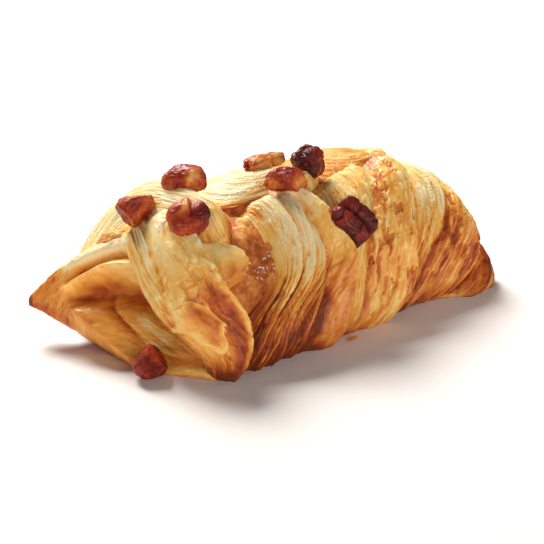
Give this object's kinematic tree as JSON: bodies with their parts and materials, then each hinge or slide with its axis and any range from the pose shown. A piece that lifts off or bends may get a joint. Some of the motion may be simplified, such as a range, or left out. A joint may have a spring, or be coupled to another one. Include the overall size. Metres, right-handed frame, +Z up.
{
  "type": "pecan braid pastry",
  "caption": "Braided laminated pastry with folded dough strips over a brown sugar filling, topped with broken pecans.",
  "frame": {"origin": "middle of the braid's box on the surface it rests on", "axes": "+X along the braid from its pointed end to its far end, +Z up"},
  "size_m": [0.142, 0.0792, 0.0552],
  "materials": {
    "pastry": "glazed golden-brown laminated dough",
    "filling": "glossy granular brown sugar and nut filling",
    "pecan": "syrup-glazed roasted pecan"
  },
  "bodies": {
    "root": {"pastry": "pastry", "filling": "filling", "pecan_1": "pecan", "pecan_2": "pecan", "pecan_3": "pecan", "pecan_4": "pecan", "pecan_5": "pecan", "pecan_6": "pecan", "pecan_7": "pecan", "pecan_8": "pecan"}
  },
  "joints": []
}
